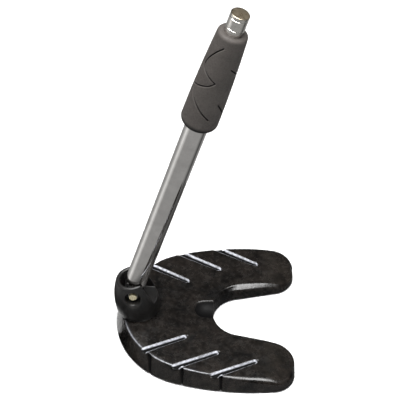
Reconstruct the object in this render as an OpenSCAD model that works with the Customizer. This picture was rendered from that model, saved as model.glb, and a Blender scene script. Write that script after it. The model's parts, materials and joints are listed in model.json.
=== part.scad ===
// Folding disc cue: a cast crescent head that cradles a disc, a friction hinge, and a telescoping
// chromed handle with a moulded grip. The crescent lies flat, its mouth opens toward +X, and the
// handle leans over the mouth. The origin is the bottom centre of the whole object.

/* [Head] */
// Radius of the round back of the head, at its base
back_r = 90; // [86:0.1:92]
// Distance from the hinge to the centre of the round back
back_x = 69.7; // [68:0.1:72]
// Radius of the long curve along the outside of each arm
side_r = 270; // [260:1:300]
// Distance from the hinge to the widest place of the arms
side_x = 118; // [112:1:124]
// Outer corner radius of each tip
tip_r = 22; // [18:0.5:24]
// Distance from the hinge to the centre of the tips' corners
tip_x = 143; // [138:0.5:146]
// Radius of the mouth's closed end, at its base
mouth_r = 28.4; // [27:0.1:32]
// Distance from the hinge to the centre of the mouth's closed end, at its base
mouth_x = 109.2; // [107:0.1:113]
// Height of the head's upper face, at the hinge
head_h = 20.8; // [20.4:0.1:24]
// Fall of the upper face toward the tips, per millimetre
head_fall = 0.048; // [0:0.001:0.055]
// Width of each channel across the arms
channel_w = 5.2; // [3:0.2:6]
// Angle between the channels and the head's long axis
channel_angle = 26.3; // [20:0.1:36]

/* [Hinge] */
// Height of the hinge axis above the floor
pivot_z = 52; // [50:0.5:54]
// Largest radius of the hinge housing
housing_r = 22.7; // [22:0.1:24]
// Height of the hinge housing along its own axis
housing_h = 45.4; // [44:0.1:47]
// Backward lean of the hinge housing
housing_lean = 6.4; // [4:0.1:8]
// Bolt diameter
bolt_d = 5; // [4.5:0.5:6]

/* [Handle] */
// Lean of the handle from the vertical, as stored
handle_lean = 17.5; // [10:0.5:25]
// Outside diameter of the lower tube
tube_d = 22.2; // [22:0.1:22.6]
// Outside diameter of the upper tube
inner_tube_d = 16; // [15.6:0.1:16.4]
// Wall of both tubes
tube_wall = 1.2; // [1:0.1:1.4]
// Distance from the hinge axis to the lower end of the grip
grip_start = 233; // [228:1:238]
// Length of the grip
grip_len = 110; // [106:1:116]
// Largest diameter of the grip
grip_d = 35; // [33:0.5:37]
// Diameter of the end knob
knob_d = 17.5; // [17:0.1:18.5]

/* [Hidden] */

round_fn = 96;
pivot_x = -72.7;
cut = 1;

// Head
base_z = 1.5;
top_inset = 11.8;
toe_x = 138;
toe_end_x = 167;
toe_end_z = 5;
tip_height = 20;
mouth_end_angle = 101;
tip_inner_angle = mouth_end_angle - 180;
sections = 11;
seat_z = 19.8;
seat_r = 23;

// Each wall layer: height share, outside inset share, inside inset share
wall_layers = [
    [0, 0.12, 0.12], [0.08, 0, 0], [0.7, 0.42, 0.28], [0.86, 0.66, 0.5], [0.96, 0.88, 0.78], [1, 1.06, 1.04]
];

// Channels: where each one leaves the outer edge of the +Y arm
channel_starts = [[15.1, 57.4], [48.4, 76.5], [87.5, 85.6]];
channel_len = 43;
channel_depth = 2.6;

// Saddle that the folded tube lies over
saddle_x = 73;
saddle_slope = 6;
saddle_r = 15;
saddle_depth = 5.5;

// Underside pockets, glides and screws
pocket_z = 9.5;
pocket_ends = [[52, 60, 11], [112, 66, 13]];
glide_r = 8;
glide_h = 3;
glide_places = [[14, 42], [138, 66]];
glide_screw_r = 1.5;
glide_screw_top = 10;
housing_x = 3.6;
housing_screw_r = 2.5;
housing_screw_ring = 12;
housing_screw_seat = 8;
housing_screw_top = 34;

// Hinge
bolt_r = bolt_d / 2;
hex_across = 8;
cavity_r = 12.6;
cavity_floor = 40.5;
slot_half = 12;
slot_drop = 11.9;
slot_angle = 94;
ear_slope = 65;
ear_top = [8.5, 65.5];
boss_r = 8.8;
boss_face = 9.2;
seat_y = 12;
counterbore_r = 8;
washer_t = 1;
bolt_head_h = 3.5;
nut_h = 4;
bolt_end_y = 17.8;
washer_r = 5;
knuckle_half = 8;
knuckle_r = 9.2;
bush_r = 4;
running = 0.05;

// Handle, as distances from the hinge axis
tube_r = tube_d / 2;
tube_bore = tube_r - tube_wall;
inner_r = inner_tube_d / 2;
inner_bore = inner_r - tube_wall;
outer_start = 9.5;
outer_end = grip_start + 10;
shank_end = 40;
bush_len = 28;
flange_h = 2.5;
lock_start = 41;
lock_end = 72;
cone_end = 74;
inner_start = 78;
grip_end = grip_start + grip_len;
knob_start = grip_end + 3.5;
knob_end = knob_start + 16.7;

black_paint = [0.12, 0.11, 0.10];
black_plastic = [0.18, 0.18, 0.18];
chrome_look = [0.82, 0.82, 0.84];
zinc_look = [0.85, 0.80, 0.60];
nylon_look = [0.90, 0.89, 0.85];
rubber_look = [0.24, 0.23, 0.22];

function mix(a, b, k) = a + (b - a) * k;
function on_circle(c, r, a) = [c[0] + r * cos(a), c[1] + r * sin(a)];

// Height of the upper face at a distance x from the hinge, with the bevel at the toes
function top_z(x) =
    x < toe_x ? head_h - head_fall * x
    : mix(head_h - head_fall * toe_x, toe_end_z, (x - toe_x) / (toe_end_x - toe_x));

// Centres and junction angles of the three tangent outer curves, for an inset share k
function back_now(k) = back_r - top_inset * k;
function side_now(k) = side_r - top_inset * k;
function tip_now(k) = tip_r - top_inset * k;
function back_c(k) = [back_x - 3 * k, 0];
function side_c(k) = [
    side_x,
    -sqrt(pow(side_now(k) - back_now(k), 2) - pow(side_x - back_c(k)[0], 2))
];
function tip_c(k) = [
    tip_x,
    side_c(k)[1] + sqrt(pow(side_now(k) - tip_now(k), 2) - pow(tip_x - side_x, 2))
];
function back_end(k) = atan2(-side_c(k)[1], back_c(k)[0] - side_x);
function side_end(k) = atan2(tip_c(k)[1] - side_c(k)[1], tip_x - side_x);

// Outer outline: t runs 0 to 1 round the back, 1 to 2 along the arm, 2 to 3 round the tip
function outer_at(t, k) =
    t < 1 ? on_circle(back_c(k), back_now(k), mix(180, back_end(k), t))
    : t < 2 ? on_circle(side_c(k), side_now(k), mix(back_end(k), side_end(k), t - 1))
    : on_circle(tip_c(k), tip_now(k), mix(side_end(k), 0, t - 2));

// Inner outline: closed end of the mouth, straight wall, inside of the tip
function mouth_at(k, a) = on_circle([mouth_x + 8 * k, 0], mouth_r + 9.5 * k, a);
function tip_inner_at(k, a) = on_circle([tip_x - 1 + k, 59.5 + 3.5 * k], 23 - 3 * k, a);
function inner_at(t, k) =
    t < 1 ? mouth_at(k, mix(180, mouth_end_angle, t))
    : t < 2 ? mix(mouth_at(k, mouth_end_angle), tip_inner_at(k, tip_inner_angle), t - 1)
    : tip_inner_at(k, mix(tip_inner_angle, 0, t - 2));

// The inset shrinks where the toe bevel makes the wall low
function share(t, k, inside) =
    k * min(1, (top_z((inside ? inner_at(t, 0) : outer_at(t, 0))[0]) - base_z) / tip_height);
function wall_point(t, layer, inside) =
    let (
        k = share(t, inside ? layer[2] : layer[1], inside),
        p = inside ? inner_at(t, k) : outer_at(t, k)
    )
    [p[0], p[1], mix(base_z, top_z(p[0]), layer[0])];
function section_ring(u) =
    let (
        side = u < 0 ? -1 : 1,
        last = len(wall_layers) - 1,
        loop = [
            for (layer = wall_layers) wall_point(abs(u), layer, false),
            for (i = [last:-1:0]) wall_point(abs(u), wall_layers[i], true)
        ]
    )
    [for (p = loop) [p[0], side * p[1], p[2]]];

// Solid swept through the rings, one ring after another
module ring_loft(rings) {
    m = len(rings[0]);
    n = len(rings);
    polyhedron(
        points = [for (ring = rings) each ring],
        faces = [
            [for (i = [0:m - 1]) i],
            [for (i = [m - 1:-1:0]) (n - 1) * m + i],
            for (j = [0:n - 2], i = [0:m - 1])
                let (a = j * m + i, b = j * m + (i + 1) % m)
                each [[a, a + m, b], [b, a + m, b + m]]
        ]
    );
}

module at_pivot_x() {
    translate([pivot_x, 0, 0]) children();
}

module at_pivot() {
    translate([pivot_x, 0, pivot_z]) children();
}

// Children's +Z is the handle's axis, from the hinge outward
module on_handle() {
    at_pivot() rotate([0, handle_lean, 0]) children();
}

module both_sides() {
    children();
    mirror([0, 1, 0]) children();
}

// Cylinder along Y from y1 to y2
module y_rod(r, y1, y2) {
    translate([0, y1, 0]) rotate([-90, 0, 0]) cylinder(r = r, h = y2 - y1, $fn = round_fn);
}

// Plain cylinder from z1 to z2
module rod(r, z1, z2) {
    translate([0, 0, z1]) cylinder(r = r, h = z2 - z1, $fn = round_fn);
}

module tube(r_out, r_in, z1, z2) {
    difference() {
        rod(r_out, z1, z2);
        rod(r_in, z1 - cut, z2 + cut);
    }
}

module channel(start) {
    r = channel_w / 2;
    fall_angle = atan(head_fall);
    translate([start[0], start[1], top_z(start[0]) - channel_depth + r])
    rotate([0, 0, -channel_angle])
    rotate([0, 90 + fall_angle, 0]) {
        translate([0, 0, -20]) cylinder(r = r, h = 20 + channel_len, $fn = round_fn);
        translate([0, 0, channel_len]) cylinder(r1 = r, r2 = 0.3, h = 5, $fn = round_fn);
    }
    translate([start[0] - 1.5, start[1] + 3.5, base_z - cut])
    cylinder(r1 = 0.8, r2 = r + 0.6, h = head_h + 3, $fn = round_fn);
}

module saddle() {
    translate([saddle_x, 0, top_z(saddle_x) - saddle_depth + saddle_r])
    rotate([0, 90 + saddle_slope, 0]) {
        sphere(r = saddle_r, $fn = round_fn);
        cylinder(r = saddle_r, h = 30, $fn = round_fn);
    }
}

module pocket() {
    hull() {
        for (p = pocket_ends)
            translate([p[0], p[1], base_z - cut])
            cylinder(r = p[2], h = pocket_z - base_z + cut, $fn = 32);
    }
}

module at_housing_screws() {
    for (a = [60, 180, 300])
        translate([housing_x + housing_screw_ring * cos(a), housing_screw_ring * sin(a), 0])
        children();
}

module head_casting() {
    color(black_paint)
    at_pivot_x()
    difference() {
        ring_loft([for (i = [-3 * sections:3 * sections]) section_ring(i / sections)]);
        translate([housing_x, 0, 0]) rod(seat_r, seat_z, seat_z + 10);
        both_sides() for (start = channel_starts) channel(start);
        saddle();
        both_sides() pocket();
        both_sides() for (p = glide_places) translate([p[0], p[1], 0]) {
            rod(glide_r, 0, glide_h);
            rod(glide_screw_r, 0, glide_screw_top);
        }
        at_housing_screws() {
            rod(housing_screw_r + 0.1, base_z, seat_z + cut);
            rod(housing_screw_r * 2, base_z - cut, housing_screw_seat);
        }
    }
}

module glide(x, y) {
    color(nylon_look)
    at_pivot_x()
    translate([x, y, 0])
    difference() {
        rod(glide_r, 0, glide_h);
        rod(glide_screw_r, -cut, glide_h + cut);
        translate([0, 0, -0.01]) cylinder(r1 = 3.2, r2 = glide_screw_r, h = 1.7, $fn = round_fn);
    }
}

module glide_rear_left() {
    glide(glide_places[0][0], glide_places[0][1]);
}

module glide_rear_right() {
    glide(glide_places[0][0], -glide_places[0][1]);
}

module glide_tip_left() {
    glide(glide_places[1][0], glide_places[1][1]);
}

module glide_tip_right() {
    glide(glide_places[1][0], -glide_places[1][1]);
}

module glide_screws() {
    color(zinc_look)
    at_pivot_x()
    both_sides() for (p = glide_places) translate([p[0], p[1], 0]) {
        difference() {
            translate([0, 0, 0.4]) cylinder(r1 = 2.78, r2 = glide_screw_r, h = 1.29, $fn = round_fn);
            translate([-0.4, -2, 0.4 - cut]) cube([0.8, 4, cut + 0.6]);
        }
        rod(glide_screw_r, 1.6, glide_screw_top);
    }
}

// Half of the housing's section: belly curve, rounded rim
module housing_profile() {
    belly_w = 13.4;
    curve = 0.00636;
    rim_r = 2.2;
    top_w = housing_h - rim_r;
    rim_c = housing_r - curve * pow(top_w - belly_w, 2) - rim_r;
    polygon([
        [0, -4],
        [housing_r - curve * belly_w * belly_w, -4],
        for (w = [0:2.1:top_w - 1]) [housing_r - curve * pow(w - belly_w, 2), w],
        for (a = [8:16:90]) [rim_c + rim_r * cos(a), top_w + rim_r * sin(a)],
        for (a = [98:16:178]) [cavity_r + 1.6 + 1.6 * cos(a), top_w + 0.6 + 1.6 * sin(a)],
        [cavity_r, top_w - 1],
        [0, top_w - 1]
    ]);
}

// Children in the housing's own frame: origin at the middle of its base, +Z along its axis
module housing_frame() {
    translate([pivot_x + housing_x, 0, seat_z]) rotate([0, -housing_lean, 0]) children();
}

module bolt_hole() {
    y_rod(bolt_r + 0.15, -40, 40);
    both_sides() {
        y_rod(counterbore_r, seat_y, 40);
        translate([0, 19.2, 0]) rotate([-90, 0, 0])
        cylinder(r1 = counterbore_r, r2 = 12, h = 4, $fn = round_fn);
    }
}

module hinge_housing() {
    color(black_plastic)
    difference() {
        union() {
            difference() {
                housing_frame() rotate_extrude($fn = round_fn) housing_profile();
                intersection() {
                    housing_frame() rod(cavity_r, 0, housing_h + 5);
                    translate([pivot_x - 40, -40, cavity_floor]) cube([80, 80, 40]);
                }
                at_pivot() rotate([0, slot_angle, 0])
                translate([-40, -slot_half, -1]) cube([40 + slot_drop, 2 * slot_half, 60]);
            }
            at_pivot() both_sides() y_rod(boss_r, boss_face, 14);
        }
        at_pivot_x()
        translate([ear_top[0], 0, ear_top[1]])
        rotate([0, ear_slope, 0])
        translate([-30, -30, 0])
        cube([60, 60, 30]);
        translate([pivot_x - 60, -60, seat_z - 20]) cube([120, 120, 20]);
        at_pivot() bolt_hole();
        at_pivot_x() at_housing_screws() rod(housing_screw_r, seat_z - cut, housing_screw_top + 1);
    }
}

module housing_screws() {
    color(zinc_look)
    at_pivot_x()
    at_housing_screws() {
        rod(housing_screw_r, housing_screw_seat - 1, housing_screw_top);
        difference() {
            rod(4.5, housing_screw_seat - 3.5, housing_screw_seat);
            translate([0, 0, housing_screw_seat - 3.5 - cut]) cylinder(r = 2, h = cut + 2, $fn = 6);
        }
    }
}

module hexagon(h) {
    cylinder(r = hex_across / 2 / cos(30), h = h, $fn = 6);
}

module pivot_bolt() {
    head_y = -seat_y - washer_t;
    color(zinc_look)
    at_pivot() {
        y_rod(bolt_r, head_y - 0.5, bolt_end_y);
        translate([0, head_y, 0]) rotate([90, 0, 0]) intersection() {
            hexagon(bolt_head_h);
            cylinder(r1 = 7, r2 = 3.9, h = bolt_head_h, $fn = round_fn);
        }
    }
}

module pivot_nut() {
    color(zinc_look)
    at_pivot()
    translate([0, seat_y + washer_t, 0])
    rotate([-90, 0, 0])
    difference() {
        intersection() {
            hexagon(nut_h);
            cylinder(r1 = 7.5, r2 = 4, h = nut_h, $fn = round_fn);
        }
        rod(bolt_r, -cut, nut_h + cut);
    }
}

module ring_pair(r_out, r_in, y1, y2) {
    both_sides() difference() {
        y_rod(r_out, y1, y2);
        y_rod(r_in, y1 - cut, y2 + cut);
    }
}

module bolt_washers() {
    color(chrome_look) at_pivot() ring_pair(washer_r, bolt_r + 0.1, seat_y, seat_y + washer_t);
}

module friction_washers() {
    color(chrome_look) at_pivot() ring_pair(8.8, bolt_r + 0.1, knuckle_half + 0.1, boss_face);
}

module pivot_plug() {
    color(black_plastic)
    on_handle()
    difference() {
        union() {
            y_rod(knuckle_r, -knuckle_half, knuckle_half);
            translate([-knuckle_r, -knuckle_half, 0]) cube([2 * knuckle_r, 2 * knuckle_half, outer_start]);
            rod(tube_bore, outer_start, shank_end);
        }
        y_rod(bush_r, -20, 20);
        rod(5.5, shank_end - 22, shank_end + cut);
    }
}

module pivot_bush() {
    color(zinc_look)
    on_handle()
    difference() {
        y_rod(bush_r, -knuckle_half, knuckle_half);
        y_rod(bolt_r + running, -20, 20);
    }
}

module outer_tube() {
    color(chrome_look) on_handle() tube(tube_r, tube_bore, outer_start, outer_end);
}

module tube_bush() {
    color(nylon_look)
    on_handle()
    difference() {
        union() {
            rod(tube_bore, outer_end - bush_len, outer_end);
            rod(tube_r, outer_end, outer_end + flange_h);
        }
        rod(inner_r + running, outer_end - bush_len - cut, outer_end + flange_h + cut);
    }
}

// Split sleeve that the cone spreads against the lower tube
module lock_sleeve() {
    color(nylon_look)
    on_handle()
    difference() {
        rod(tube_bore - running, lock_start, lock_end);
        rod(2 + running, lock_start - cut, lock_end);
        translate([0, 0, lock_start + 8]) cylinder(r1 = 4.4, r2 = 7.6, h = lock_end - lock_start - 7.9, $fn = round_fn);
        for (a = [0, 120, 240])
            rotate([0, 0, a]) translate([3, -0.75, lock_start + 12]) cube([10, 1.5, lock_end]);
    }
}

// Cone stud that turns with the upper tube
module lock_cone() {
    color(zinc_look)
    on_handle() {
        rod(2, lock_start + 1, lock_start + 12);
        translate([0, 0, lock_start + 10])
        cylinder(r1 = 4.2, r2 = 7, h = cone_end - lock_start - 10, $fn = round_fn);
        rod(7.9, cone_end, inner_start);
        rod(3, inner_start - 1, inner_start + 16);
    }
}

module stud_plug() {
    color(zinc_look) on_handle() tube(inner_bore, 3, inner_start, inner_start + 18);
}

module inner_tube() {
    color(chrome_look) on_handle() tube(inner_r, inner_bore, inner_start, knob_start);
}

// Radius of the grip at a distance s from the hinge axis
function grip_radius(s) = let (d = s - grip_start - 29) grip_d / 2 - 0.02 * d - 0.0003 * d * d;

module grip_profile() {
    end_r = 7;
    top_r = 3.2;
    bore_top = 13;
    low = grip_start + end_r;
    high = grip_end - top_r;
    polygon([
        [tube_r + 0.4, grip_start],
        for (a = [-80:16:-10]) [grip_radius(low) - end_r + end_r * cos(a), low + end_r * sin(a)],
        for (s = [low:6.2:high - 3]) [grip_radius(s), s],
        for (a = [0:15:90]) [grip_radius(high) - top_r + top_r * cos(a), high + top_r * sin(a)],
        [inner_r, grip_end],
        [inner_r, grip_start + bore_top],
        [tube_r + 0.4, grip_start + bore_top]
    ]);
}

module grip() {
    color(rubber_look) on_handle() rotate_extrude($fn = round_fn) grip_profile();
}

module knob_insert() {
    color(nylon_look) on_handle() tube(inner_bore, 4, knob_start - 22, knob_start);
}

module knob_profile() {
    r = knob_d / 2;
    edge = 1.4;
    groove = 0.5;
    groove_s = knob_end - 3.2;
    polygon([
        [0, knob_start],
        [r, knob_start],
        [r, knob_start + 0.3],
        [r, groove_s - groove],
        [r - groove, groove_s],
        [r, groove_s + groove],
        for (a = [0:15:90]) [r - edge + edge * cos(a), knob_end - edge + edge * sin(a)],
        [0, knob_end]
    ]);
}

module end_knob() {
    color(chrome_look)
    on_handle() {
        rotate_extrude($fn = round_fn) knob_profile();
        rod(4, knob_start - 20, knob_start + cut);
    }
}

head_casting();
glide_rear_left();
glide_rear_right();
glide_tip_left();
glide_tip_right();
glide_screws();
hinge_housing();
housing_screws();
pivot_bolt();
pivot_nut();
bolt_washers();
friction_washers();
pivot_plug();
pivot_bush();
outer_tube();
tube_bush();
lock_sleeve();
lock_cone();
stud_plug();
inner_tube();
grip();
knob_insert();
end_knob();
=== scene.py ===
import json
import math

import bmesh
import bpy
import numpy as np
from mathutils import Matrix, Vector


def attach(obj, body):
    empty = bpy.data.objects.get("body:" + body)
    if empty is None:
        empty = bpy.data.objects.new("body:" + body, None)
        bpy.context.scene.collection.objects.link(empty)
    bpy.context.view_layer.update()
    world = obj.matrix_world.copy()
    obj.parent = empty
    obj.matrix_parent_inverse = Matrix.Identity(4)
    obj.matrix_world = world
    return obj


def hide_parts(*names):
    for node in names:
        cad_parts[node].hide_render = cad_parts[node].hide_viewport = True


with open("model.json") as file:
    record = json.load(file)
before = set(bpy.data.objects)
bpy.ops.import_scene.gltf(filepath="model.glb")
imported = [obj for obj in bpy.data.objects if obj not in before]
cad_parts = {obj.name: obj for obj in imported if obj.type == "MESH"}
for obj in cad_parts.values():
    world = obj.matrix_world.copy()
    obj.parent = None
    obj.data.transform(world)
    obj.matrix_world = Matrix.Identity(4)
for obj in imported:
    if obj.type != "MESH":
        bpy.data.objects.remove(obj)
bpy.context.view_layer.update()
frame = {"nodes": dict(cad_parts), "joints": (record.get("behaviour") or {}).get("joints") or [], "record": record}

MM = 0.001
NODES = frame["nodes"]
JOINTS = {joint["name"]: joint for joint in frame["joints"]}

# ---------------------------------------------------------------- sizes, in millimetres
# They repeat part.scad, measured from the hinge axis: x toward the mouth, s along the handle.
BASE_Z = 1.5
HEAD_H, HEAD_FALL = 20.8, 0.048
BACK_R, BACK_X = 90.0, 69.7
SIDE_R, SIDE_X = 270.0, 118.0
TIP_R, TIP_X = 22.0, 143.0
MOUTH_R, MOUTH_X = 28.4, 109.2
TOP_INSET = 11.8
TOE_X, TOE_END_X, TOE_END_Z = 138.0, 167.0, 5.0
TIP_HEIGHT = 20.0
MOUTH_END_ANGLE = 101.0
CHANNEL_STARTS = ((15.1, 57.4), (48.4, 76.5), (87.5, 85.6))
CHANNEL_ANGLE = math.radians(26.3)
CHANNEL_LEN, CHANNEL_HALF, CHANNEL_DEPTH = 43.0, 2.6, 2.6
NOTCH_SHIFT = 3.0
SADDLE_X, SADDLE_SLOPE, SADDLE_R, SADDLE_DEPTH = 73.0, math.radians(6), 15.0, 5.5
LIP_OFF, LIP_WIDTH = 2.6, 1.15
SEAT_X, SEAT_R, SEAT_Z = 3.6, 23.0, 19.8
POCKET_Z, POCKET_ENDS = 9.5, ((52, 60, 11), (112, 66, 13))
GLIDE_PLACES, GLIDE_H, GLIDE_R = ((14, 42), (138, 66)), 3, 8
SCREW_RING, SCREW_SEAT_Z, SCREW_HEAD_R = 12, 8, 5
TUBE_R, TUBE_BORE, TUBE_START, TUBE_END = 11.1, 9.9, 9.5, 243.0
INNER_R, INNER_BORE, INNER_START = 8.0, 6.8, 78.0
GRIP_START, GRIP_END, GRIP_R = 233.0, 343.0, 17.5
GROOVE_DEPTH, GRIP_RING_DROP, GRIP_RING_DEPTH = 1.7, 10.5, 0.18
KNOB_START, KNOB_END, KNOB_R = 346.5, 363.2, 8.75
BOLT_R, BOLT_SEAT_Y, BOLT_END_Y, HEX_HALF = 2.5, 13.0, 17.8, 4.0

PIVOT = Vector(JOINTS["fold"]["pos_m"])
HANDLE_AXIS = Vector(JOINTS["extend"]["axis"]).normalized()


def frame_matrix(origin, z_axis):
    """Places a piece made round its own Z on z_axis, with its Y kept level."""
    y_axis = Vector((0, 1, 0))
    x_axis = y_axis.cross(z_axis).normalized()
    return Matrix.Translation(origin) @ Matrix((x_axis, y_axis, z_axis)).transposed().to_4x4()


AT_HEAD = Matrix.Translation((PIVOT.x, 0, 0))
AT_HANDLE = frame_matrix(PIVOT, HANDLE_AXIS)


# ---------------------------------------------------------------- camera, floor and light
CAMERA_PLACE = Vector((0.0455, -0.9732, 1.1225))
CAMERA_PITCH = math.radians(44.17)
CAMERA_YAW = math.radians(-2.82)
CAMERA_ROLL = math.radians(-1.48)
CAMERA_LENS = 126.8


def add_camera():
    data = bpy.data.cameras.new("camera")
    data.lens = CAMERA_LENS
    data.sensor_width = 36
    data.clip_end = 20
    camera = bpy.data.objects.new("camera", data)
    bpy.context.scene.collection.objects.link(camera)
    turn = Matrix.Rotation(-CAMERA_YAW, 4, "Z") @ Matrix.Rotation(math.pi / 2 - CAMERA_PITCH, 4, "X")
    camera.matrix_world = Matrix.Translation(CAMERA_PLACE) @ turn @ Matrix.Rotation(CAMERA_ROLL, 4, "Z")
    bpy.context.scene.camera = camera


def add_floor():
    size = 6.0
    mesh = bpy.data.meshes.new("floor")
    corners = [(-size, -size, 0), (size, -size, 0), (size, size, 0), (-size, size, 0)]
    mesh.from_pydata(corners, [], [(0, 1, 2, 3)])
    floor = bpy.data.objects.new("floor", mesh)
    bpy.context.scene.collection.objects.link(floor)
    material = bpy.data.materials.new("floor")
    material.use_nodes = True
    shader = material.node_tree.nodes["Principled BSDF"]
    shader.inputs["Base Color"].default_value = (0.93, 0.93, 0.93, 1)
    shader.inputs["Roughness"].default_value = 0.9
    shader.inputs["Specular IOR Level"].default_value = 0
    mesh.materials.append(material)


def add_area_light(name, place, size, power, colour=(1, 1, 1)):
    """A softbox that faces the middle of the object."""
    data = bpy.data.lights.new(name, "AREA")
    data.shape = "RECTANGLE"
    data.size, data.size_y = size
    data.energy = power
    data.color = colour
    light = bpy.data.objects.new(name, data)
    bpy.context.scene.collection.objects.link(light)
    light.location = place
    light.rotation_euler = (Vector((0, 0, 0.12)) - Vector(place)).to_track_quat("-Z", "Y").to_euler()


def set_stops(ramp, stops):
    """Gives a colour ramp its stops: place from 0 to 1, and colour."""
    elements = ramp.color_ramp.elements
    while len(elements) < len(stops):
        elements.new(0.5)
    for element, (place, colour) in zip(elements, stops):
        element.position = place
        element.color = (*colour, 1)


def ramp_by_turn(nodes, links, x_output, y_output, stops):
    """A colour that changes with the compass direction of (x, y), in degrees from +X toward +Y."""
    angle = nodes.new("ShaderNodeMath")
    angle.operation = "ARCTAN2"
    links.new(y_output, angle.inputs[0])
    links.new(x_output, angle.inputs[1])
    turn = nodes.new("ShaderNodeMapRange")
    turn.inputs["From Min"].default_value = -math.pi
    turn.inputs["From Max"].default_value = math.pi
    links.new(angle.outputs[0], turn.inputs["Value"])
    ramp = nodes.new("ShaderNodeValToRGB")
    set_stops(ramp, [((degrees + 180) / 360, colour) for degrees, colour in stops])
    links.new(turn.outputs[0], ramp.inputs["Fac"])
    return ramp.outputs["Color"]


# How light the studio is, by the height of the direction, from level to straight up
SKY_GREYS = ((0.0, 0.55), (0.10, 0.28), (0.30, 0.03), (0.70, 0.03), (0.84, 0.16), (0.94, 0.38), (1.0, 0.6))


def add_world():
    """A dim grey studio, darkest halfway up, so that black paint stays black."""
    world = bpy.data.worlds.new("studio")
    bpy.context.scene.world = world
    world.use_nodes = True
    nodes, links = world.node_tree.nodes, world.node_tree.links
    split = nodes.new("ShaderNodeSeparateXYZ")
    links.new(nodes.new("ShaderNodeTexCoord").outputs["Generated"], split.inputs[0])
    ramp = nodes.new("ShaderNodeValToRGB")
    set_stops(ramp, [(height, (grey, grey, grey)) for height, grey in SKY_GREYS])
    links.new(split.outputs["Z"], ramp.inputs["Fac"])
    background = nodes["Background"]
    background.inputs["Strength"].default_value = 1.0
    links.new(ramp.outputs["Color"], background.inputs["Color"])


# What glossy pieces mirror from the floor: degrees round the handle's foot, and grey.
# A pale card at the left, a dark one at the right, and mid grey between them.
FLOOR_CARDS = ((-180, 0.8), (-150, 0.3), (-30, 0.3), (0, 0.05), (30, 0.3), (150, 0.3), (180, 0.8))
RING_INNER, RING_OUTER, RING_SEGMENTS, RING_Z = 0.02, 1.6, 96, 0.0003
RING_DARK_R, RING_LIGHT_R, RING_DARK = 0.065, 0.10, 0.03


def add_reflection_ring():
    """Grey studio cards laid round the handle's foot, seen only in reflections, and dark close to it."""
    foot = PIVOT - HANDLE_AXIS * (PIVOT.z / HANDLE_AXIS.z)
    work = bmesh.new()
    around = np.linspace(0, 2 * math.pi, RING_SEGMENTS, endpoint=False)
    inner, outer = (
        [work.verts.new((r * math.cos(a), r * math.sin(a), 0)) for a in around]
        for r in (RING_INNER, RING_OUTER)
    )
    for i in range(RING_SEGMENTS):
        j = (i + 1) % RING_SEGMENTS
        work.faces.new((inner[i], outer[i], outer[j], inner[j]))
    mesh = bpy.data.meshes.new("reflection_ring")
    work.to_mesh(mesh)
    work.free()
    ring = bpy.data.objects.new("reflection_ring", mesh)
    ring.location = (foot.x, foot.y, RING_Z)
    bpy.context.scene.collection.objects.link(ring)
    ring.visible_camera = False
    ring.visible_diffuse = False
    ring.visible_shadow = False
    ring.visible_transmission = False
    material = bpy.data.materials.new("reflection_ring")
    material.use_nodes = True
    nodes, links = material.node_tree.nodes, material.node_tree.links
    shader = nodes["Principled BSDF"]
    shader.inputs["Base Color"].default_value = (0, 0, 0, 1)
    shader.inputs["Specular IOR Level"].default_value = 0
    place = nodes.new("ShaderNodeTexCoord").outputs["Object"]
    split = nodes.new("ShaderNodeSeparateXYZ")
    links.new(place, split.inputs[0])
    distance = nodes.new("ShaderNodeVectorMath")
    distance.operation = "LENGTH"
    links.new(place, distance.inputs[0])
    stops = [(degrees, (grey, grey, grey)) for degrees, grey in FLOOR_CARDS]
    cards = ramp_by_turn(nodes, links, split.outputs["X"], split.outputs["Y"], stops)
    links.new(cards, shader.inputs["Emission Color"])
    fade = nodes.new("ShaderNodeMapRange")
    fade.inputs["From Min"].default_value = RING_DARK_R
    fade.inputs["From Max"].default_value = RING_LIGHT_R
    fade.inputs["To Min"].default_value = RING_DARK
    links.new(distance.outputs["Value"], fade.inputs["Value"])
    links.new(fade.outputs[0], shader.inputs["Emission Strength"])
    mesh.materials.append(material)


bpy.context.scene.view_settings.view_transform = "Standard"
add_camera()
add_floor()
add_world()
add_reflection_ring()
add_area_light("overhead", (0.0, -0.12, 1.7), (1.5, 0.9), 60)
add_area_light("left_fill", (-1.3, -0.6, 0.9), (0.5, 0.9), 3, (1, 0.98, 0.95))
add_area_light("knob_card", (0.69, 1.15, 1.29), (0.6, 0.6), 0.4, (1.0, 0.90, 0.74))


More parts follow.
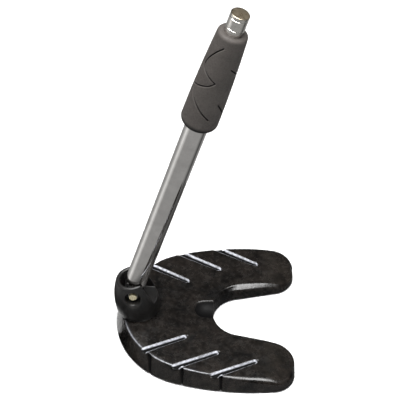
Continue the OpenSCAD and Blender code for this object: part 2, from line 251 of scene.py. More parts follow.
# ---------------------------------------------------------------- materials
class Look:
    """A procedural material, built up from noise in the piece's own space, in metres."""

    def __init__(self, name, **sockets):
        self.material = bpy.data.materials.new(name)
        self.material.use_nodes = True
        self.nodes = self.material.node_tree.nodes
        self.links = self.material.node_tree.links
        self.shader = self.nodes["Principled BSDF"]
        self.coords = self.nodes.new("ShaderNodeTexCoord").outputs["Object"]
        for socket, value in sockets.items():
            self.shader.inputs[socket.replace("_", " ")].default_value = value

    def xyz(self):
        """The piece's own space as three outputs, in metres."""
        node = self.nodes.new("ShaderNodeSeparateXYZ")
        self.links.new(self.coords, node.inputs[0])
        return node.outputs

    def stretched(self, scale):
        """The piece's own space, scaled differently along each axis."""
        mapping = self.nodes.new("ShaderNodeMapping")
        mapping.inputs["Scale"].default_value = scale
        self.links.new(self.coords, mapping.inputs["Vector"])
        return mapping.outputs[0]

    def noise(self, per_metre, detail=4, rough=0.55, distortion=0.0, vector=None):
        node = self.nodes.new("ShaderNodeTexNoise")
        node.inputs["Scale"].default_value = per_metre
        node.inputs["Detail"].default_value = detail
        node.inputs["Roughness"].default_value = rough
        node.inputs["Distortion"].default_value = distortion
        self.links.new(vector or self.coords, node.inputs["Vector"])
        return node.outputs["Fac"]

    def cells(self, per_metre):
        node = self.nodes.new("ShaderNodeTexVoronoi")
        node.feature = "SMOOTH_F1"
        node.inputs["Scale"].default_value = per_metre
        self.links.new(self.coords, node.inputs["Vector"])
        return node.outputs["Distance"]

    def value(self, attribute):
        """A number stored on the mesh's points."""
        node = self.nodes.new("ShaderNodeAttribute")
        node.attribute_name = attribute
        return node.outputs["Fac"]

    def math(self, operation, a, b=None, c=None):
        """One Math node. a, b and c are outputs or numbers."""
        node = self.nodes.new("ShaderNodeMath")
        node.operation = operation
        for socket, value in zip(node.inputs, (a, b, c)):
            if isinstance(value, (int, float)):
                socket.default_value = value
            elif value is not None:
                self.links.new(value, socket)
        return node.outputs[0]

    def span(self, value, low, high, to_low, to_high):
        """value between low and high becomes to_low to to_high."""
        node = self.nodes.new("ShaderNodeMapRange")
        for socket, number in zip(("From Min", "From Max", "To Min", "To Max"), (low, high, to_low, to_high)):
            node.inputs[socket].default_value = number
        self.links.new(value, node.inputs["Value"])
        return node.outputs[0]

    def times(self, a, b):
        return self.math("MULTIPLY", a, b)

    def plus(self, a, b):
        return self.math("ADD", a, b)

    def edges(self, low, high):
        """Where the surface is convex, from 0 to 1."""
        geometry = self.nodes.new("ShaderNodeNewGeometry")
        return self.span(geometry.outputs["Pointiness"], low, high, 0, 1)

    def mix(self, fac, a, b):
        """Colour a where fac is 0, colour b where it is 1. a and b are colours or outputs."""
        node = self.nodes.new("ShaderNodeMix")
        node.data_type = "RGBA"
        self.links.new(fac, node.inputs["Factor"])
        for socket, colour in ((node.inputs[6], a), (node.inputs[7], b)):
            if isinstance(colour, tuple):
                socket.default_value = (*colour, 1)
            else:
                self.links.new(colour, socket)
        return node.outputs[2]

    def colour(self, output):
        self.links.new(output, self.shader.inputs["Base Color"])

    def roughness(self, output):
        self.links.new(output, self.shader.inputs["Roughness"])

    def bump(self, height, depth_mm, strength=1.0):
        node = self.nodes.new("ShaderNodeBump")
        node.inputs["Strength"].default_value = strength
        node.inputs["Distance"].default_value = depth_mm * MM
        self.links.new(height, node.inputs["Height"])
        previous = self.shader.inputs["Normal"]
        if previous.links:
            self.links.new(previous.links[0].from_socket, node.inputs["Normal"])
        self.links.new(node.outputs[0], previous)


def channel_highlights_and_shade(look):
    """A pale line along the lip on each side of every channel, partly worn paint and partly a painted highlight,
    and painted shade in the channel beds, the wall notches and the saddle.
    """
    x, y, z = (look.math("MULTIPLY", place, 1 / MM) for place in look.xyz())
    y = look.math("ABSOLUTE", y)
    cos_a, sin_a = math.cos(CHANNEL_ANGLE), math.sin(CHANNEL_ANGLE)
    lip_wear_and_highlight, bed_shade = None, None
    for start_x, start_y in CHANNEL_STARTS:
        dx, dy = look.math("SUBTRACT", x, start_x), look.math("SUBTRACT", y, start_y)
        along = look.math("SUBTRACT", look.times(dx, cos_a), look.times(dy, sin_a))
        off = look.math("ABSOLUTE", look.plus(look.times(dx, sin_a), look.times(dy, cos_a)))
        # The channel narrows toward its inner end, and closes in a round tip
        half = look.span(along, 0, CHANNEL_LEN, LIP_OFF, 0.62 * LIP_OFF)
        past = look.math("MAXIMUM", look.math("SUBTRACT", along, CHANNEL_LEN - 1.5), 0)
        reach = look.math("SQRT", look.plus(look.times(off, off), look.times(past, past)))
        gap = look.math("SUBTRACT", reach, half)
        # A thin line along each lip, painted as a highlight, and the bed inside it, painted as shade.
        line = look.span(look.math("ABSOLUTE", gap), 0.4, LIP_WIDTH, 1, 0)
        inside = look.span(gap, -0.8, -0.3, 1, 0)
        on_arm = look.span(along, -7, -5, 0, 1)
        line, inside = look.times(line, on_arm), look.times(inside, on_arm)
        lip_wear_and_highlight = line if lip_wear_and_highlight is None else look.math("MAXIMUM", lip_wear_and_highlight, line)
        # Painted shade in the bed of the channel.
        bed_shade = inside if bed_shade is None else look.math("MAXIMUM", bed_shade, inside)
    below_top = look.math("SUBTRACT", look.math("MULTIPLY_ADD", x, -HEAD_FALL, HEAD_H), z)
    lip_wear_and_highlight = look.times(lip_wear_and_highlight, look.span(below_top, 1.3, 2.2, 1, 0))
    bed_shade = look.times(bed_shade, look.span(below_top, 3.2, 4.0, 1, 0))
    return lip_wear_and_highlight, look.math("MAXIMUM", bed_shade, look.value("hollow_shade"))


def head_look():
    """Semi-gloss black paint over a cast surface: mottled, with worn paint and painted highlights along its edges
    and along the channels, and painted shade in its channel beds, wall notches and saddle.
    """
    look = Look("head_paint", Specular_IOR_Level=0.5)
    mottle = look.span(look.noise(55, 6, 0.62, 0.5), 0.36, 0.66, 0, 1)
    fine = look.span(look.noise(260, 4, 0.6), 0.35, 0.65, 0, 1)
    body = look.mix(mottle, (0.0015, 0.0013, 0.0012), (0.0085, 0.0070, 0.0060))
    body = look.mix(look.times(mottle, fine), body, (0.017, 0.0138, 0.0116))
    lip_wear_and_highlight, bed_shade = channel_highlights_and_shade(look)
    patchy = look.span(look.noise(330, 5, 0.65), 0.36, 0.60, 0.35, 1)
    # Worn paint on sharp edges and a painted highlight along the upper face's outer edge lighten the paint to a
    # pale blue-grey.
    rubbed_and_highlit = look.times(look.plus(look.value("painted_light_and_shade"), look.edges(0.56, 0.64)), patchy)
    body = look.mix(rubbed_and_highlit, body, (0.30, 0.31, 0.34))
    # Painted shade: the channel beds, wall notches and saddle are darkened almost to black.
    body = look.mix(bed_shade, body, (0.0015, 0.0015, 0.0017))
    # Painted highlight, partly worn paint: a pale blue-white line along the lip on each side of every channel.
    look.colour(look.mix(look.times(lip_wear_and_highlight, patchy), body, (0.72, 0.74, 0.81)))
    sheen = look.span(look.noise(130, 5, 0.6), 0.3, 0.7, 0.17, 0.34)
    # The painted shade also makes those places rougher and less glossy.
    look.roughness(look.plus(sheen, look.times(bed_shade, 0.4)))
    look.links.new(look.span(bed_shade, 0, 1, 0.5, 0.1), look.shader.inputs["Specular IOR Level"])
    look.bump(look.noise(160, 3, 0.5), 0.30, 0.6)
    look.bump(look.noise(620, 3, 0.6), 0.10, 0.6)
    return look.material


def plastic_look(name, dark, light, rough):
    """Moulded plastic with a fine eroded texture."""
    look = Look(name, Specular_IOR_Level=0.45)
    look.colour(look.mix(look.span(look.noise(60, 5, 0.6), 0.35, 0.65, 0, 1), dark, light))
    look.roughness(look.span(look.noise(900, 2, 0.5), 0.3, 0.7, rough - 0.06, rough + 0.08))
    look.bump(look.noise(1500, 2, 0.5), 0.05, 0.5)
    return look.material


def rubber_look():
    """Matte moulded rubber: pebbled and dusty on its high places, with painted shade in its channels and on its
    lower end.
    """
    look = Look("grip_rubber", Specular_IOR_Level=0.35)
    cloud = look.span(look.noise(45, 6, 0.65), 0.32, 0.68, 0, 1)
    speck = look.span(look.noise(700, 4, 0.7), 0.35, 0.65, 0, 1)
    body = look.mix(cloud, (0.034, 0.029, 0.0265), (0.058, 0.050, 0.045))
    body = look.mix(look.times(speck, 0.6), body, (0.076, 0.068, 0.062))
    body = look.mix(look.edges(0.50, 0.60), body, (0.100, 0.091, 0.084))
    # Painted shade on the lowest few millimetres of the grip, its underside.
    foot = look.span(look.xyz()["Z"], (GRIP_START + 5) * MM, (GRIP_START + 9) * MM, 1, 0)
    # Painted shade: the channels and the lower end are darkened almost to black.
    look.colour(look.mix(look.math("MAXIMUM", look.value("painted_light_and_shade"), foot), body, (0.004, 0.0035, 0.003)))
    look.roughness(look.span(look.noise(300, 3, 0.5), 0.3, 0.7, 0.58, 0.74))
    look.bump(look.cells(1400), 0.06, 0.5)
    look.bump(look.noise(500, 3, 0.5), 0.05, 0.5)
    return look.material


def chrome_look(name, tint):
    """Polished plating with faint lines drawn along the tube and a few dull marks."""
    look = Look(name, Metallic=1.0)
    drawn = look.noise(1.0, 3, 0.6, vector=look.stretched((900, 900, 22)))
    haze = look.noise(70, 5, 0.6)
    shade = tuple(0.86 * c for c in tint)
    look.colour(look.mix(look.span(haze, 0.35, 0.65, 0, 1), shade, tint))
    look.roughness(look.plus(look.span(drawn, 0.3, 0.7, 0.03, 0.10), look.span(haze, 0.45, 0.75, 0, 0.07)))
    look.bump(drawn, 0.004, 0.4)
    return look.material


def knob_look():
    """Polished plating, darker, duller and straw-coloured on the top face."""
    look = Look("knob_chrome", Metallic=1.0)
    top = look.span(look.xyz()["Z"], (KNOB_END - 1.0) * MM, (KNOB_END - 0.3) * MM, 0, 1)
    haze = look.span(look.noise(260, 4, 0.6), 0.35, 0.65, 0, 1)
    side = look.mix(haze, (0.80, 0.77, 0.71), (0.93, 0.91, 0.86))
    look.colour(look.mix(top, side, look.mix(haze, (0.40, 0.35, 0.27), (0.52, 0.46, 0.36))))
    look.roughness(look.plus(look.span(haze, 0, 1, 0.10, 0.18), look.times(top, 0.16)))
    return look.material


def plated_look(name, pale, deep, rough, metallic=1.0):
    """Zinc or steel: two close colours clouded together, with turning marks."""
    look = Look(name, Metallic=metallic)
    look.colour(look.mix(look.span(look.noise(350, 4, 0.6), 0.35, 0.65, 0, 1), pale, deep))
    look.roughness(look.span(look.noise(900, 3, 0.6), 0.3, 0.7, rough - 0.08, rough + 0.12))
    look.bump(look.noise(1600, 2, 0.5), 0.02, 0.5)
    return look.material


def nylon_look(name, pale, deep, rough):
    """Natural nylon: cream, slightly cloudy and waxy."""
    look = Look(name, Subsurface_Weight=0.15, Subsurface_Scale=0.002)
    look.colour(look.mix(look.span(look.noise(120, 4, 0.6), 0.35, 0.65, 0, 1), pale, deep))
    look.roughness(look.span(look.noise(500, 3, 0.6), 0.3, 0.7, rough - 0.06, rough + 0.10))
    look.bump(look.noise(900, 2, 0.5), 0.03, 0.4)
    return look.material


LOOKS = {
    "head_paint": head_look(),
    "housing_plastic": plastic_look(
        "housing_plastic", (0.0065, 0.0062, 0.006), (0.0125, 0.0118, 0.0112), 0.38
    ),
    "plug_plastic": plastic_look("plug_plastic", (0.010, 0.010, 0.010), (0.018, 0.018, 0.018), 0.5),
    "grip_rubber": rubber_look(),
    "tube_chrome": chrome_look("tube_chrome", (0.90, 0.88, 0.85)),
    "knob_chrome": knob_look(),
    "bolt_zinc": plated_look("bolt_zinc", (0.96, 0.90, 0.66), (0.84, 0.74, 0.46), 0.24, 0.55),
    "washer_steel": plated_look("washer_steel", (0.72, 0.72, 0.71), (0.55, 0.55, 0.54), 0.28),
    "screw_zinc": plated_look("screw_zinc", (0.74, 0.74, 0.70), (0.60, 0.59, 0.54), 0.3),
    "nylon": nylon_look("nylon", (0.80, 0.77, 0.69), (0.70, 0.66, 0.57), 0.42),
    "glide_nylon": nylon_look("glide_nylon", (0.84, 0.82, 0.76), (0.73, 0.70, 0.63), 0.3),
}
SLOT_OF = {part["node"]: part["material_slot"] for part in frame["record"]["subparts"]}
BODY_OF = {node: body for body, names in frame["record"]["behaviour"]["bodies"].items() for node in names}

for node, piece in NODES.items():
    piece.data.materials.clear()
    piece.data.materials.append(LOOKS[SLOT_OF[node]])


# ---------------------------------------------------------------- mesh helpers
def finish_piece(name, node, mesh, matrix, sharp_degrees=40):
    """Links a finished mesh that stands for a CAD node and rides on that node's body."""
    piece = bpy.data.objects.new(name, mesh)
    bpy.context.scene.collection.objects.link(piece)
    piece.matrix_world = matrix
    mesh.materials.clear()
    mesh.materials.append(LOOKS[SLOT_OF[node]])
    mesh.shade_smooth()
    mesh.set_sharp_from_angle(angle=math.radians(sharp_degrees))
    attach(piece, BODY_OF[node])
    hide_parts(node)
    return piece


def sheet_mesh(name, points, wrap_rows=False, wrap_columns=False, caps=False, marks=None):
    """A mesh over a grid of points (rows, columns, 3), in millimetres. Caps close the two end rows.

    marks are numbers stored on the points, by name, for a material to read.
    """
    rows, columns = points.shape[:2]
    index = np.arange(rows * columns).reshape(rows, columns)
    if wrap_rows:
        index = np.vstack([index, index[:1]])
    if wrap_columns:
        index = np.hstack([index, index[:, :1]])
    a, b, c, d = index[:-1, :-1], index[1:, :-1], index[1:, 1:], index[:-1, 1:]
    faces = np.stack([a, b, c, d], -1).reshape(-1, 4).tolist()
    if caps:
        faces += [index[0, :columns].tolist(), index[-1, :columns][::-1].tolist()]
    mesh = bpy.data.meshes.new(name)
    mesh.from_pydata((points.reshape(-1, 3) * MM).tolist(), [], faces)
    for mark, values in (marks or {}).items():
        mesh.attributes.new(mark, "FLOAT", "POINT").data.foreach_set("value", values.ravel())
    work = bmesh.new()
    work.from_mesh(mesh)
    bmesh.ops.remove_doubles(work, verts=work.verts, dist=1e-7)
    bmesh.ops.recalc_face_normals(work, faces=work.faces)
    work.to_mesh(mesh)
    work.free()
    return mesh


def arc(centre, radius, start, end, steps):
    """Points (r, s) on an arc, its angles in degrees."""
    angles = np.radians(np.linspace(start, end, steps))
    return [(centre[0] + radius * math.cos(a), centre[1] + radius * math.sin(a)) for a in angles]


def lathe_points(profile, segments, radius_of=None):
    """A closed profile of (r, s) turned round Z. radius_of may change r by angle."""
    around = np.linspace(0, 2 * math.pi, segments, endpoint=False)
    profile = np.array(profile, float)
    r = np.repeat(profile[:, :1], segments, 1)
    s = np.repeat(profile[:, 1:], segments, 1)
    if radius_of:
        r = radius_of(r, s, around[None, :])
    return np.stack([r * np.cos(around), r * np.sin(around), s], -1)


# ---------------------------------------------------------------- head
def blend(a, b, k):
    return a + (b - a) * k


def ease(low, high, x):
    """Smooth step from 0 at low to 1 at high."""
    t = np.clip((x - low) / (high - low), 0, 1)
    return t * t * (3 - 2 * t)


def top_z(x):
    """Height of the upper face, with the toe bevel joined by a soft crease."""
    plain = HEAD_H - HEAD_FALL * x
    toe_start = HEAD_H - HEAD_FALL * TOE_X
    bevel = toe_start + (TOE_END_Z - toe_start) * (x - TOE_X) / (TOE_END_X - TOE_X)
    softness = 1.2
    return -softness * np.logaddexp(-plain / softness, -bevel / softness) + 0.02


def back_circle(k):
    return BACK_X - 3 * k, 0.0, BACK_R - TOP_INSET * k


def side_circle(k):
    x, _, r = back_circle(k)
    side_r = SIDE_R - TOP_INSET * k
    return SIDE_X, -np.sqrt((side_r - r) ** 2 - (SIDE_X - x) ** 2), side_r


def tip_circle(k):
    _, side_y, side_r = side_circle(k)
    tip_r = TIP_R - TOP_INSET * k
    return TIP_X, side_y + np.sqrt((side_r - tip_r) ** 2 - (TIP_X - SIDE_X) ** 2), tip_r


def on_circle(circle, angle):
    x, y, r = circle
    return x + r * np.cos(angle), y + r * np.sin(angle)


def outer_at(t, k):
    """Outer outline: t is 0 to 1 round the back, 1 to 2 along the arm, 2 to 3 round the tip."""
    back, side, tip = back_circle(k), side_circle(k), tip_circle(k)
    back_end = np.arctan2(-side[1], back[0] - SIDE_X)
    side_end = np.arctan2(tip[1] - side[1], TIP_X - SIDE_X)
    if t < 1:
        return on_circle(back, blend(math.pi, back_end, t))
    if t < 2:
        return on_circle(side, blend(back_end, side_end, t - 1))
    return on_circle(tip, blend(side_end, 0, t - 2))


def inner_at(t, k):
    """Inner outline: closed end of the mouth, straight wall, inside of the tip."""
    mouth = (MOUTH_X + 8 * k, 0.0, MOUTH_R + 9.5 * k)
    tip = (TIP_X - 1 + k, 59.5 + 3.5 * k, 23 - 3 * k)
    mouth_end = math.radians(MOUTH_END_ANGLE)
    tip_start = mouth_end - math.pi
    if t < 1:
        return on_circle(mouth, blend(math.pi, mouth_end, t))
    if t < 2:
        x0, y0 = on_circle(mouth, mouth_end)
        x1, y1 = on_circle(tip, tip_start)
        return blend(x0, x1, t - 1), blend(y0, y1, t - 1)
    return on_circle(tip, blend(tip_start, 0, t - 2))


def curve_through(points, steps):
    """Quadratic curve from the first point to the third, pulled toward the second."""
    p0, p1, p2 = (np.array(p, float) for p in points)
    t = np.linspace(0, 1, steps)[:, None]
    return (1 - t) ** 2 * p0 + 2 * t * (1 - t) * p1 + t * t * p2


def wall_section(edge, steps_up, steps_edge):
    """Rows of (height share, inset share) from the floor up to the upper face."""
    foot = curve_through([(0, 0.12), (0, 0), (0.06, 0)], 4)
    climb = np.linspace((0.06, 0), edge[0], steps_up)
    return np.vstack([foot, climb[1:-1], curve_through(edge, steps_edge)])


OUTSIDE_WALL = wall_section([(0.94, 0.84), (1, 0.92), (1, 1.04)], 14, 11)
OUTSIDE_TOE = wall_section([(0.62, 0.40), (0.98, 0.62), (1, 1.50)], 14, 11)
INSIDE_WALL = np.vstack([
    wall_section([(0.45, 0.14), (0.72, 0.22), (0.80, 0.50)], 10, 7),
    np.linspace((0.80, 0.50), (0.94, 1.15), 6)[1:],
    curve_through([(0.94, 1.15), (1, 1.40), (1, 1.62)], 6)[1:],
])


def wall_points(t, section, outline):
    x_base, _ = outline(t, 0.0)
    low = min(1.0, (top_z(x_base) - BASE_Z) / TIP_HEIGHT)
    h, k = section[:, 0], section[:, 1] * low
    x, y = outline(t, k)
    return np.stack([x, y, blend(BASE_Z, top_z(x), h)], -1)


def head_ring(u, across):
    """One closed section of the crescent: outer wall, upper face, inner wall, underside."""
    outside_wall = blend(OUTSIDE_WALL, OUTSIDE_TOE, ease(1.35, 1.95, abs(u)))
    outside = wall_points(abs(u), outside_wall, outer_at)
    inside = wall_points(abs(u), INSIDE_WALL, inner_at)[::-1]
    shares = np.linspace(0, 1, across)[1:-1, None]
    face = blend(outside[-1], inside[0], shares)
    face[:, 2] = top_z(face[:, 0])
    under = blend(inside[-1], outside[0], np.linspace(0, 1, 12)[1:-1, None])
    ring = np.vstack([outside, face, inside, under])
    if u < 0:
        ring[:, 1] *= -1
    return ring


def cut_channels(points):
    """Sinks the slanted channels into the upper face and notches them down the outer wall.

    Returns the points, and where the notches are, from 0 to 1.
    """
    notch = np.zeros(points.shape[:2])
    x, y, z = points[..., 0], np.abs(points[..., 1]), points[..., 2]
    side = np.sign(points[..., 1])
    height = np.clip((z - BASE_Z) / (top_z(x) - BASE_Z), 0, 1)
    cos_a, sin_a = math.cos(CHANNEL_ANGLE), math.sin(CHANNEL_ANGLE)
    for start_x, start_y in CHANNEL_STARTS:
        dx, dy = x - start_x, y - start_y
        along, off = dx * cos_a - dy * sin_a, dx * sin_a + dy * cos_a
        taper = 1 - ease(CHANNEL_LEN - 3, CHANNEL_LEN + 3, along)
        half = CHANNEL_HALF * (1 - 0.25 * np.clip(along / CHANNEL_LEN, 0, 1)) * (0.35 + 0.65 * taper)
        across = 1 - ease(0.30 * half, 1.45 * half, np.abs(off))
        on_face = ease(0.80, 0.97, height) * (along > -12)
        depth = CHANNEL_DEPTH * across * np.sqrt(taper) * on_face
        slot_half = 1.2 + 1.2 * height
        slot = 1 - ease(0.25 * slot_half, 1.1 * slot_half, np.abs(x - start_x - NOTCH_SHIFT))
        on_wall = (along < 14) * (1 - ease(0.94, 1.0, height)) * (height > 0.01)
        push = (1.6 + 2.6 * height) * slot * on_wall
        notch = np.maximum(notch, slot * on_wall)
        points[..., 0] += 0.25 * push
        points[..., 1] -= 0.97 * push * side
        points[..., 2] -= depth
    return points, notch


def edge_highlight(sweep, columns):
    """A painted highlight along the upper face's outer edge, from 0 to 1."""
    crest = len(OUTSIDE_WALL) - 5
    across = np.exp(-(((np.arange(columns) - crest) / 2.8) ** 2))
    along = ease(0.15, 0.35, np.abs(sweep)) * (1 - ease(1.1, 1.7, np.abs(sweep)))
    # The painted highlight is strong on the -Y arm and faint on the +Y arm.
    along *= np.where(sweep < 0, 1.1, 0.2)
    return along[:, None] * across[None, :]


def cut_saddle_and_seat(points):
    """Hollows the saddle for the folded tube, and the round seat under the hinge housing.

    Returns the points, and where the saddle is, from 0 to 1.
    """
    x, y, z = points[..., 0], points[..., 1], points[..., 2]
    axis_z = top_z(SADDLE_X) - SADDLE_DEPTH + SADDLE_R
    ball = SADDLE_R**2 - y**2 - np.minimum(x - SADDLE_X, 0) ** 2
    bottom = axis_z - np.sqrt(np.clip(ball, 0, None)) - np.maximum(x - SADDLE_X, 0) * math.tan(SADDLE_SLOPE)
    saddle = np.where((ball > 0) & (x < 100), bottom, 1e3)
    seat = np.where(np.hypot(x - SEAT_X, y) < SEAT_R, SEAT_Z, 1e3)
    softness = 0.3
    scooped = -softness * np.logaddexp(-z / softness, -saddle / softness)
    lowered = np.minimum(scooped, seat)
    scoop = ease(0.5, 1.6, z - scooped)
    points[..., 2] = np.maximum(lowered, np.minimum(z, BASE_Z + 0.01))
    return points, scoop


def cast_swell(points):
    """The slight unevenness of a sand casting, as real shape: a few crossed waves."""
    x, y, z = points[..., 0], points[..., 1], points[..., 2]
    waves = (
        np.sin(x / 7.3 + 1.3 * np.sin(y / 11.0)) * np.sin(y / 6.1 + 0.7)
        + 0.6 * np.sin(x / 3.7 + y / 4.9 + 2.0) * np.sin(y / 3.1 - x / 8.0)
    )
    above = ease(0.85, 1.0, (z - BASE_Z) / (top_z(x) - BASE_Z))
    points[..., 2] += 0.09 * waves * above
    return points


def cylinder_mesh(work, x, y, z0, z1, r, segments=48):
    made = bmesh.ops.create_cone(
        work, cap_ends=True, segments=segments, radius1=r, radius2=r, depth=z1 - z0,
        matrix=Matrix.Translation((x, y, (z0 + z1) / 2)),
    )
    return made["verts"]


def underside_cutters():
    """Pockets, glide recesses and screw holes that open in the underside."""
    work = bmesh.new()
    for side in (-1, 1):
        verts = []
        for x, y, r in POCKET_ENDS:
            verts += cylinder_mesh(work, x, side * y, 0, POCKET_Z, r)
        bmesh.ops.delete(work, geom=list({f for v in verts for f in v.link_faces}), context="FACES_ONLY")
        bmesh.ops.convex_hull(work, input=verts)
        for x, y in GLIDE_PLACES:
            cylinder_mesh(work, x, side * y, 0, GLIDE_H, GLIDE_R)
    for angle in (60, 180, 300):
        a = math.radians(angle)
        x, y = SEAT_X + SCREW_RING * math.cos(a), SCREW_RING * math.sin(a)
        cylinder_mesh(work, x, y, 0, SCREW_SEAT_Z, SCREW_HEAD_R)
    bmesh.ops.scale(work, vec=(MM, MM, MM), verts=work.verts)
    bmesh.ops.recalc_face_normals(work, faces=work.faces)
    mesh = bpy.data.meshes.new("cutters")
    work.to_mesh(mesh)
    work.free()
    cutters = bpy.data.objects.new("cutters", mesh)
    bpy.context.scene.collection.objects.link(cutters)
    return cutters


def cut_with(mesh, cutters):
    """The mesh with the cutters' shapes taken away, and the cutters removed."""
    holder = bpy.data.objects.new("holder", mesh)
    bpy.context.scene.collection.objects.link(holder)
    boolean = holder.modifiers.new("cut", "BOOLEAN")
    boolean.operation = "DIFFERENCE"
    boolean.solver = "EXACT"
    boolean.object = cutters
    bpy.context.view_layer.update()
    result = bpy.data.meshes.new_from_object(holder.evaluated_get(bpy.context.evaluated_depsgraph_get()))
    bpy.data.objects.remove(holder)
    bpy.data.objects.remove(cutters)
    return result


def make_head():
    coarse = 1.0
    steps = [int(n * coarse) for n in (150, 120, 50)]
    half = np.concatenate([np.linspace(i, i + 1, n, endpoint=False) for i, n in enumerate(steps)] + [[3.0]])
    sweep = np.concatenate([-half[:0:-1], half])
    across = int(82 * coarse)
    points = np.stack([head_ring(u, across) for u in sweep])
    points, notch = cut_channels(points)
    points, scoop = cut_saddle_and_seat(cast_swell(points))
    # The first mark is a painted highlight along the upper face's outer edge; the second is painted shade in the
    # wall notches and the saddle scoop.
    marks = {"painted_light_and_shade": edge_highlight(sweep, points.shape[1]), "hollow_shade": np.maximum(notch, 0.9 * scoop)}
    mesh = sheet_mesh("head", points, wrap_columns=True, caps=True, marks=marks)
    mesh = cut_with(mesh, underside_cutters())
    finish_piece("head_cast", "head_casting", mesh, AT_HEAD, 50)


# ---------------------------------------------------------------- hinge
def softened(node, voxel_mm, passes):
    """A copy of a CAD node's mesh with all its edges rounded, as a moulding's are."""
    mesh = NODES[node].data.copy()
    work = bmesh.new()
    work.from_mesh(mesh)
    bmesh.ops.remove_doubles(work, verts=work.verts, dist=1e-6)
    work.to_mesh(mesh)
    work.free()
    holder = bpy.data.objects.new("holder", mesh)
    bpy.context.scene.collection.objects.link(holder)
    remesh = holder.modifiers.new("remesh", "REMESH")
    remesh.mode = "VOXEL"
    remesh.voxel_size = voxel_mm * MM
    smooth = holder.modifiers.new("smooth", "SMOOTH")
    smooth.iterations = passes
    smooth.factor = 0.5
    bpy.context.view_layer.update()
    result = bpy.data.meshes.new_from_object(holder.evaluated_get(bpy.context.evaluated_depsgraph_get()))
    bpy.data.objects.remove(holder)
    return result


def make_housing():
    voxel = 0.42
    finish_piece("hinge_cowl", "hinge_housing", softened("hinge_housing", voxel, 14), Matrix.Identity(4), 60)


def hexagon(r, s, around):
    """Keeps r inside a hexagon, with the chamfer that the profile gives."""
    flat = (around + math.pi / 6) % (math.pi / 3) - math.pi / 6
    return np.minimum(r, HEX_HALF / np.cos(flat))


def bolt_axis(side):
    """Places a piece made round Z on the washer's outer face, on the -Y or +Y side."""
    place = Matrix.Translation(PIVOT + Vector((0, side * BOLT_SEAT_Y * MM, 0)))
    return place @ Matrix.Rotation(-side * math.pi / 2, 4, "X")


def make_bolt_and_nut():
    head_profile = [(0, 0), (4.7, 0), (4.75, 0.15), (4.75, 2.2), (4.55, 2.75)]
    head_profile += arc((3.5, 2.85), 0.65, 30, 90, 4) + [(2.7, 3.5), (2.4, 3.25), (0, 3.2)]
    tip_s = -BOLT_SEAT_Y - BOLT_END_Y
    shank_profile = [(0, tip_s), (BOLT_R - 0.5, tip_s), (BOLT_R, tip_s + 0.5), (BOLT_R, -0.01), (0, -0.01)]
    mesh = sheet_mesh("bolt", lathe_points(head_profile, 180, hexagon), wrap_columns=True)
    shank_mesh = sheet_mesh("shank", lathe_points(shank_profile, 48), wrap_columns=True)
    work = bmesh.new()
    work.from_mesh(mesh)
    work.from_mesh(shank_mesh)
    work.to_mesh(mesh)
    work.free()
    finish_piece("hinge_bolt", "pivot_bolt", mesh, bolt_axis(-1), 25)
    bore = BOLT_R + 0.02
    nut_profile = [(bore, 0), (4.7, 0), (4.75, 0.2), (4.75, 2.6), (4.2, 3.0)]
    nut_profile += [(3.9, 3.9), (3.5, 4.0), (bore, 3.7)]
    nut = lathe_points(nut_profile, 180, hexagon)
    finish_piece("hinge_nut", "pivot_nut", sheet_mesh("nut", nut, True, True), bolt_axis(1), 25)


# ---------------------------------------------------------------- handle
def make_tubes():
    lip = 0.35
    for name, node, r, bore, start, end in (
        ("lower_tube", "outer_tube", TUBE_R, TUBE_BORE, TUBE_START, TUBE_END),
        ("upper_tube", "inner_tube", INNER_R, INNER_BORE, INNER_START, KNOB_START),
    ):
        profile = arc((r - lip, start + lip), lip, -90, 0, 4)
        profile += [(r, s) for s in np.linspace(start + 2, end - 2, 24)]
        profile += arc((r - lip, end - lip), lip, 0, 90, 4) + [(bore, end), (bore, start)]
        mesh = sheet_mesh(name, lathe_points(profile, 128), True, True)
        finish_piece(name, node, mesh, AT_HANDLE)


def grip_radius(s):
    d = s - GRIP_START - 29
    return GRIP_R - 0.02 * d - 0.0003 * d * d


# Channels on one half of the grip: degrees round it and share of its height, end to end
GRIP_CHANNELS = (
    ((-112, 0.90), (-136, 0.82), (-156, 0.72), (-157, 0.65), (-134, 0.61), (-96, 0.56)),
    ((-96, 0.56), (-112, 0.515), (-138, 0.475), (-172, 0.43)),
    ((-167, 0.41), (-147, 0.34), (-122, 0.28), (-100, 0.23), (-76, 0.18)),
    ((-60, 0.715), (-42, 0.68), (-22, 0.645), (8, 0.61)),
    ((-61, 0.345), (-44, 0.29), (-26, 0.235), (4, 0.20)),
)


def smooth_path(points, per_span=14):
    """A path that passes through every point with no corner."""
    p = np.array(points, float)
    p = np.vstack([2 * p[0] - p[1], p, 2 * p[-1] - p[-2]])
    t = np.linspace(0, 1, per_span, endpoint=False)[:, None]
    spans = []
    for a, b, c, d in zip(p, p[1:], p[2:], p[3:]):
        square, cube = 2 * a - 5 * b + 4 * c - d, 3 * b - a - 3 * c + d
        spans.append(0.5 * (2 * b + (c - a) * t + square * t**2 + cube * t**3))
    return np.vstack(spans + [p[-2:-1]])


def distance_to_path(x, y, path, wrap):
    """Distance from each point (x, y) to a path, where x repeats every wrap."""
    nearest = np.full(x.shape, 1e9)
    for (ax, ay), (bx, by) in zip(path, path[1:]):
        px = (x - ax + wrap / 2) % wrap - wrap / 2
        py = y - ay
        dx, dy = bx - ax, by - ay
        t = np.clip((px * dx + py * dy) / (dx * dx + dy * dy), 0, 1)
        nearest = np.minimum(nearest, np.hypot(px - t * dx, py - t * dy))
    return nearest


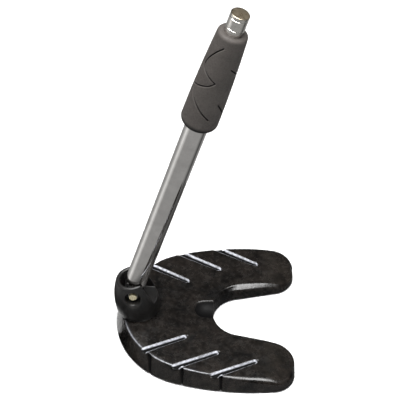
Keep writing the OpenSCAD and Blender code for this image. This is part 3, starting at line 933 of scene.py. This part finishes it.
def channelled(r, s, around):
    """The grip's outer skin with its curved channels and the faint ring under its shoulder pressed in."""
    mean_r = 16.5
    length = GRIP_END - GRIP_START
    unrolled = np.repeat(around * mean_r, r.shape[0], 0)
    nearest = np.full(r.shape, 1e9)
    for half_turn in (0, math.pi):
        for channel in GRIP_CHANNELS:
            path = smooth_path(
                [((math.radians(a) + half_turn) * mean_r, GRIP_START + v * length) for a, v in channel]
            )
            nearest = np.minimum(nearest, distance_to_path(unrolled, s, path, 2 * math.pi * mean_r))
    groove = 1 - ease(0.25, 0.95, nearest)
    ring = 1 - ease(0.1, 0.7, np.abs(s - GRIP_END + GRIP_RING_DROP))
    return r - (GROOVE_DEPTH * groove + GRIP_RING_DEPTH * ring) * (r > TUBE_R + 2)


def make_grip():
    end_r, shoulder_r, bore_top = 7.0, 3.2, GRIP_START + 13
    low, high = GRIP_START + end_r, GRIP_END - shoulder_r - 0.4
    rows = 250
    profile = [(TUBE_R + 0.4, GRIP_START)]
    profile += arc((grip_radius(low) - end_r, low), end_r, -78, -4, 16)
    profile += [(grip_radius(s), s) for s in np.linspace(low, high - 0.4, rows)]
    profile += arc((grip_radius(high) - shoulder_r, high), shoulder_r, 4, 86, 12)
    profile += [(INNER_R + 1.6, GRIP_END - 0.3), (INNER_R + 0.5, GRIP_END - 0.9)]
    profile += [(INNER_R, GRIP_END - 1.2), (INNER_R, bore_top), (TUBE_R + 0.4, bore_top)]
    segments = 320
    plain = lathe_points(profile, segments)
    points = lathe_points(profile, segments, channelled)
    pressed = np.linalg.norm(points - plain, axis=-1) / GROOVE_DEPTH
    # The mark is where the channels are pressed in, for painted shade.
    mesh = sheet_mesh("grip", points, True, True, marks={"painted_light_and_shade": ease(0.25, 0.7, pressed)})
    finish_piece("hand_grip", "grip", mesh, AT_HANDLE)


def make_knob():
    r = KNOB_R
    ring_s, bead_s = KNOB_END - 3.4, KNOB_START + 2.6
    profile = [(0, KNOB_START), (r - 1.3, KNOB_START)]
    profile += arc((r - 0.7, KNOB_START + 0.7), 0.7, -90, 0, 6)
    profile += arc((r + 0.15, bead_s), 0.45, 250, 110, 7)
    profile += [(r - 0.05, s) for s in np.linspace(bead_s + 1, ring_s - 1, 8)]
    profile += arc((r + 0.1, ring_s), 0.6, 250, 110, 9)
    profile += arc((r - 0.9, KNOB_END - 0.9), 0.9, 0, 84, 9)
    profile += [(r - 2.2, KNOB_END + 0.02), (r - 4.5, KNOB_END + 0.08), (0, KNOB_END + 0.1)]
    mesh = sheet_mesh("knob", lathe_points(profile, 160), wrap_columns=True)
    finish_piece("grip_knob", "end_knob", mesh, AT_HANDLE, 50)


make_head()
make_housing()
make_bolt_and_nut()
make_tubes()
make_grip()
make_knob()
